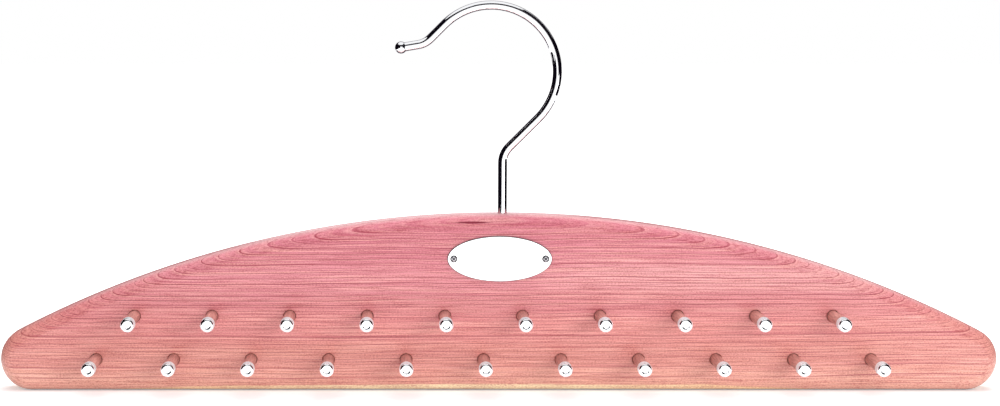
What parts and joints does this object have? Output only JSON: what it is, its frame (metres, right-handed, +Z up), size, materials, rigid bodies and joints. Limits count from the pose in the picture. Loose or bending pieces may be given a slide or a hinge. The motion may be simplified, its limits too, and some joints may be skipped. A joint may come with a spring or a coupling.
{
  "type": "tie hanger",
  "caption": "Arched wooden board with staggered rows of metal-capped pegs that ties hang over, a bare oval plate, and a swivelling wire hook for a closet rod.",
  "frame": {"origin": "centre of the board's flat lower edge, in the middle of the board's thickness", "axes": "+X along the board, +Z up towards the hook, -Y to the front where the pegs point"},
  "size_m": [0.4444, 0.0475, 0.1732],
  "materials": {
    "cedar_board": "sanded, unfinished red cedar with fine dark growth lines",
    "peg_wood": "turned cedar dowel, browner than the board",
    "cap_chrome": "bright chrome plate",
    "hook_chrome": "bright chrome-plated wire",
    "plate_metal": "satin silver, bare",
    "screw_steel": "zinc-plated steel"
  },
  "bodies": {
    "board": {"board": "cedar_board", "peg_upper_1": "peg_wood", "peg_upper_2": "peg_wood", "peg_upper_3": "peg_wood", "peg_upper_4": "peg_wood", "peg_upper_5": "peg_wood", "peg_upper_6": "peg_wood", "peg_upper_7": "peg_wood", "peg_upper_8": "peg_wood", "peg_upper_9": "peg_wood", "peg_upper_10": "peg_wood", "peg_lower_1": "peg_wood", "peg_lower_2": "peg_wood", "peg_lower_3": "peg_wood", "peg_lower_4": "peg_wood", "peg_lower_5": "peg_wood", "peg_lower_6": "peg_wood", "peg_lower_7": "peg_wood", "peg_lower_8": "peg_wood", "peg_lower_9": "peg_wood", "peg_lower_10": "peg_wood", "peg_lower_11": "peg_wood", "peg_cap_upper_1": "cap_chrome", "peg_cap_upper_2": "cap_chrome", "peg_cap_upper_3": "cap_chrome", "peg_cap_upper_4": "cap_chrome", "peg_cap_upper_5": "cap_chrome", "peg_cap_upper_6": "cap_chrome", "peg_cap_upper_7": "cap_chrome", "peg_cap_upper_8": "cap_chrome", "peg_cap_upper_9": "cap_chrome", "peg_cap_upper_10": "cap_chrome", "peg_cap_lower_1": "cap_chrome", "peg_cap_lower_2": "cap_chrome", "peg_cap_lower_3": "cap_chrome", "peg_cap_lower_4": "cap_chrome", "peg_cap_lower_5": "cap_chrome", "peg_cap_lower_6": "cap_chrome", "peg_cap_lower_7": "cap_chrome", "peg_cap_lower_8": "cap_chrome", "peg_cap_lower_9": "cap_chrome", "peg_cap_lower_10": "cap_chrome", "peg_cap_lower_11": "cap_chrome", "nameplate": "plate_metal", "nameplate_screw_left": "screw_steel", "nameplate_screw_right": "screw_steel"},
    "hook": {"hook": "hook_chrome"}
  },
  "joints": [
    {"name": "hook_swivel", "type": "hinge", "parent": "board", "child": "hook", "pos_m": [0.0015, 0, 0.079], "axis": [0, 0, 1], "continuous": true}
  ]
}
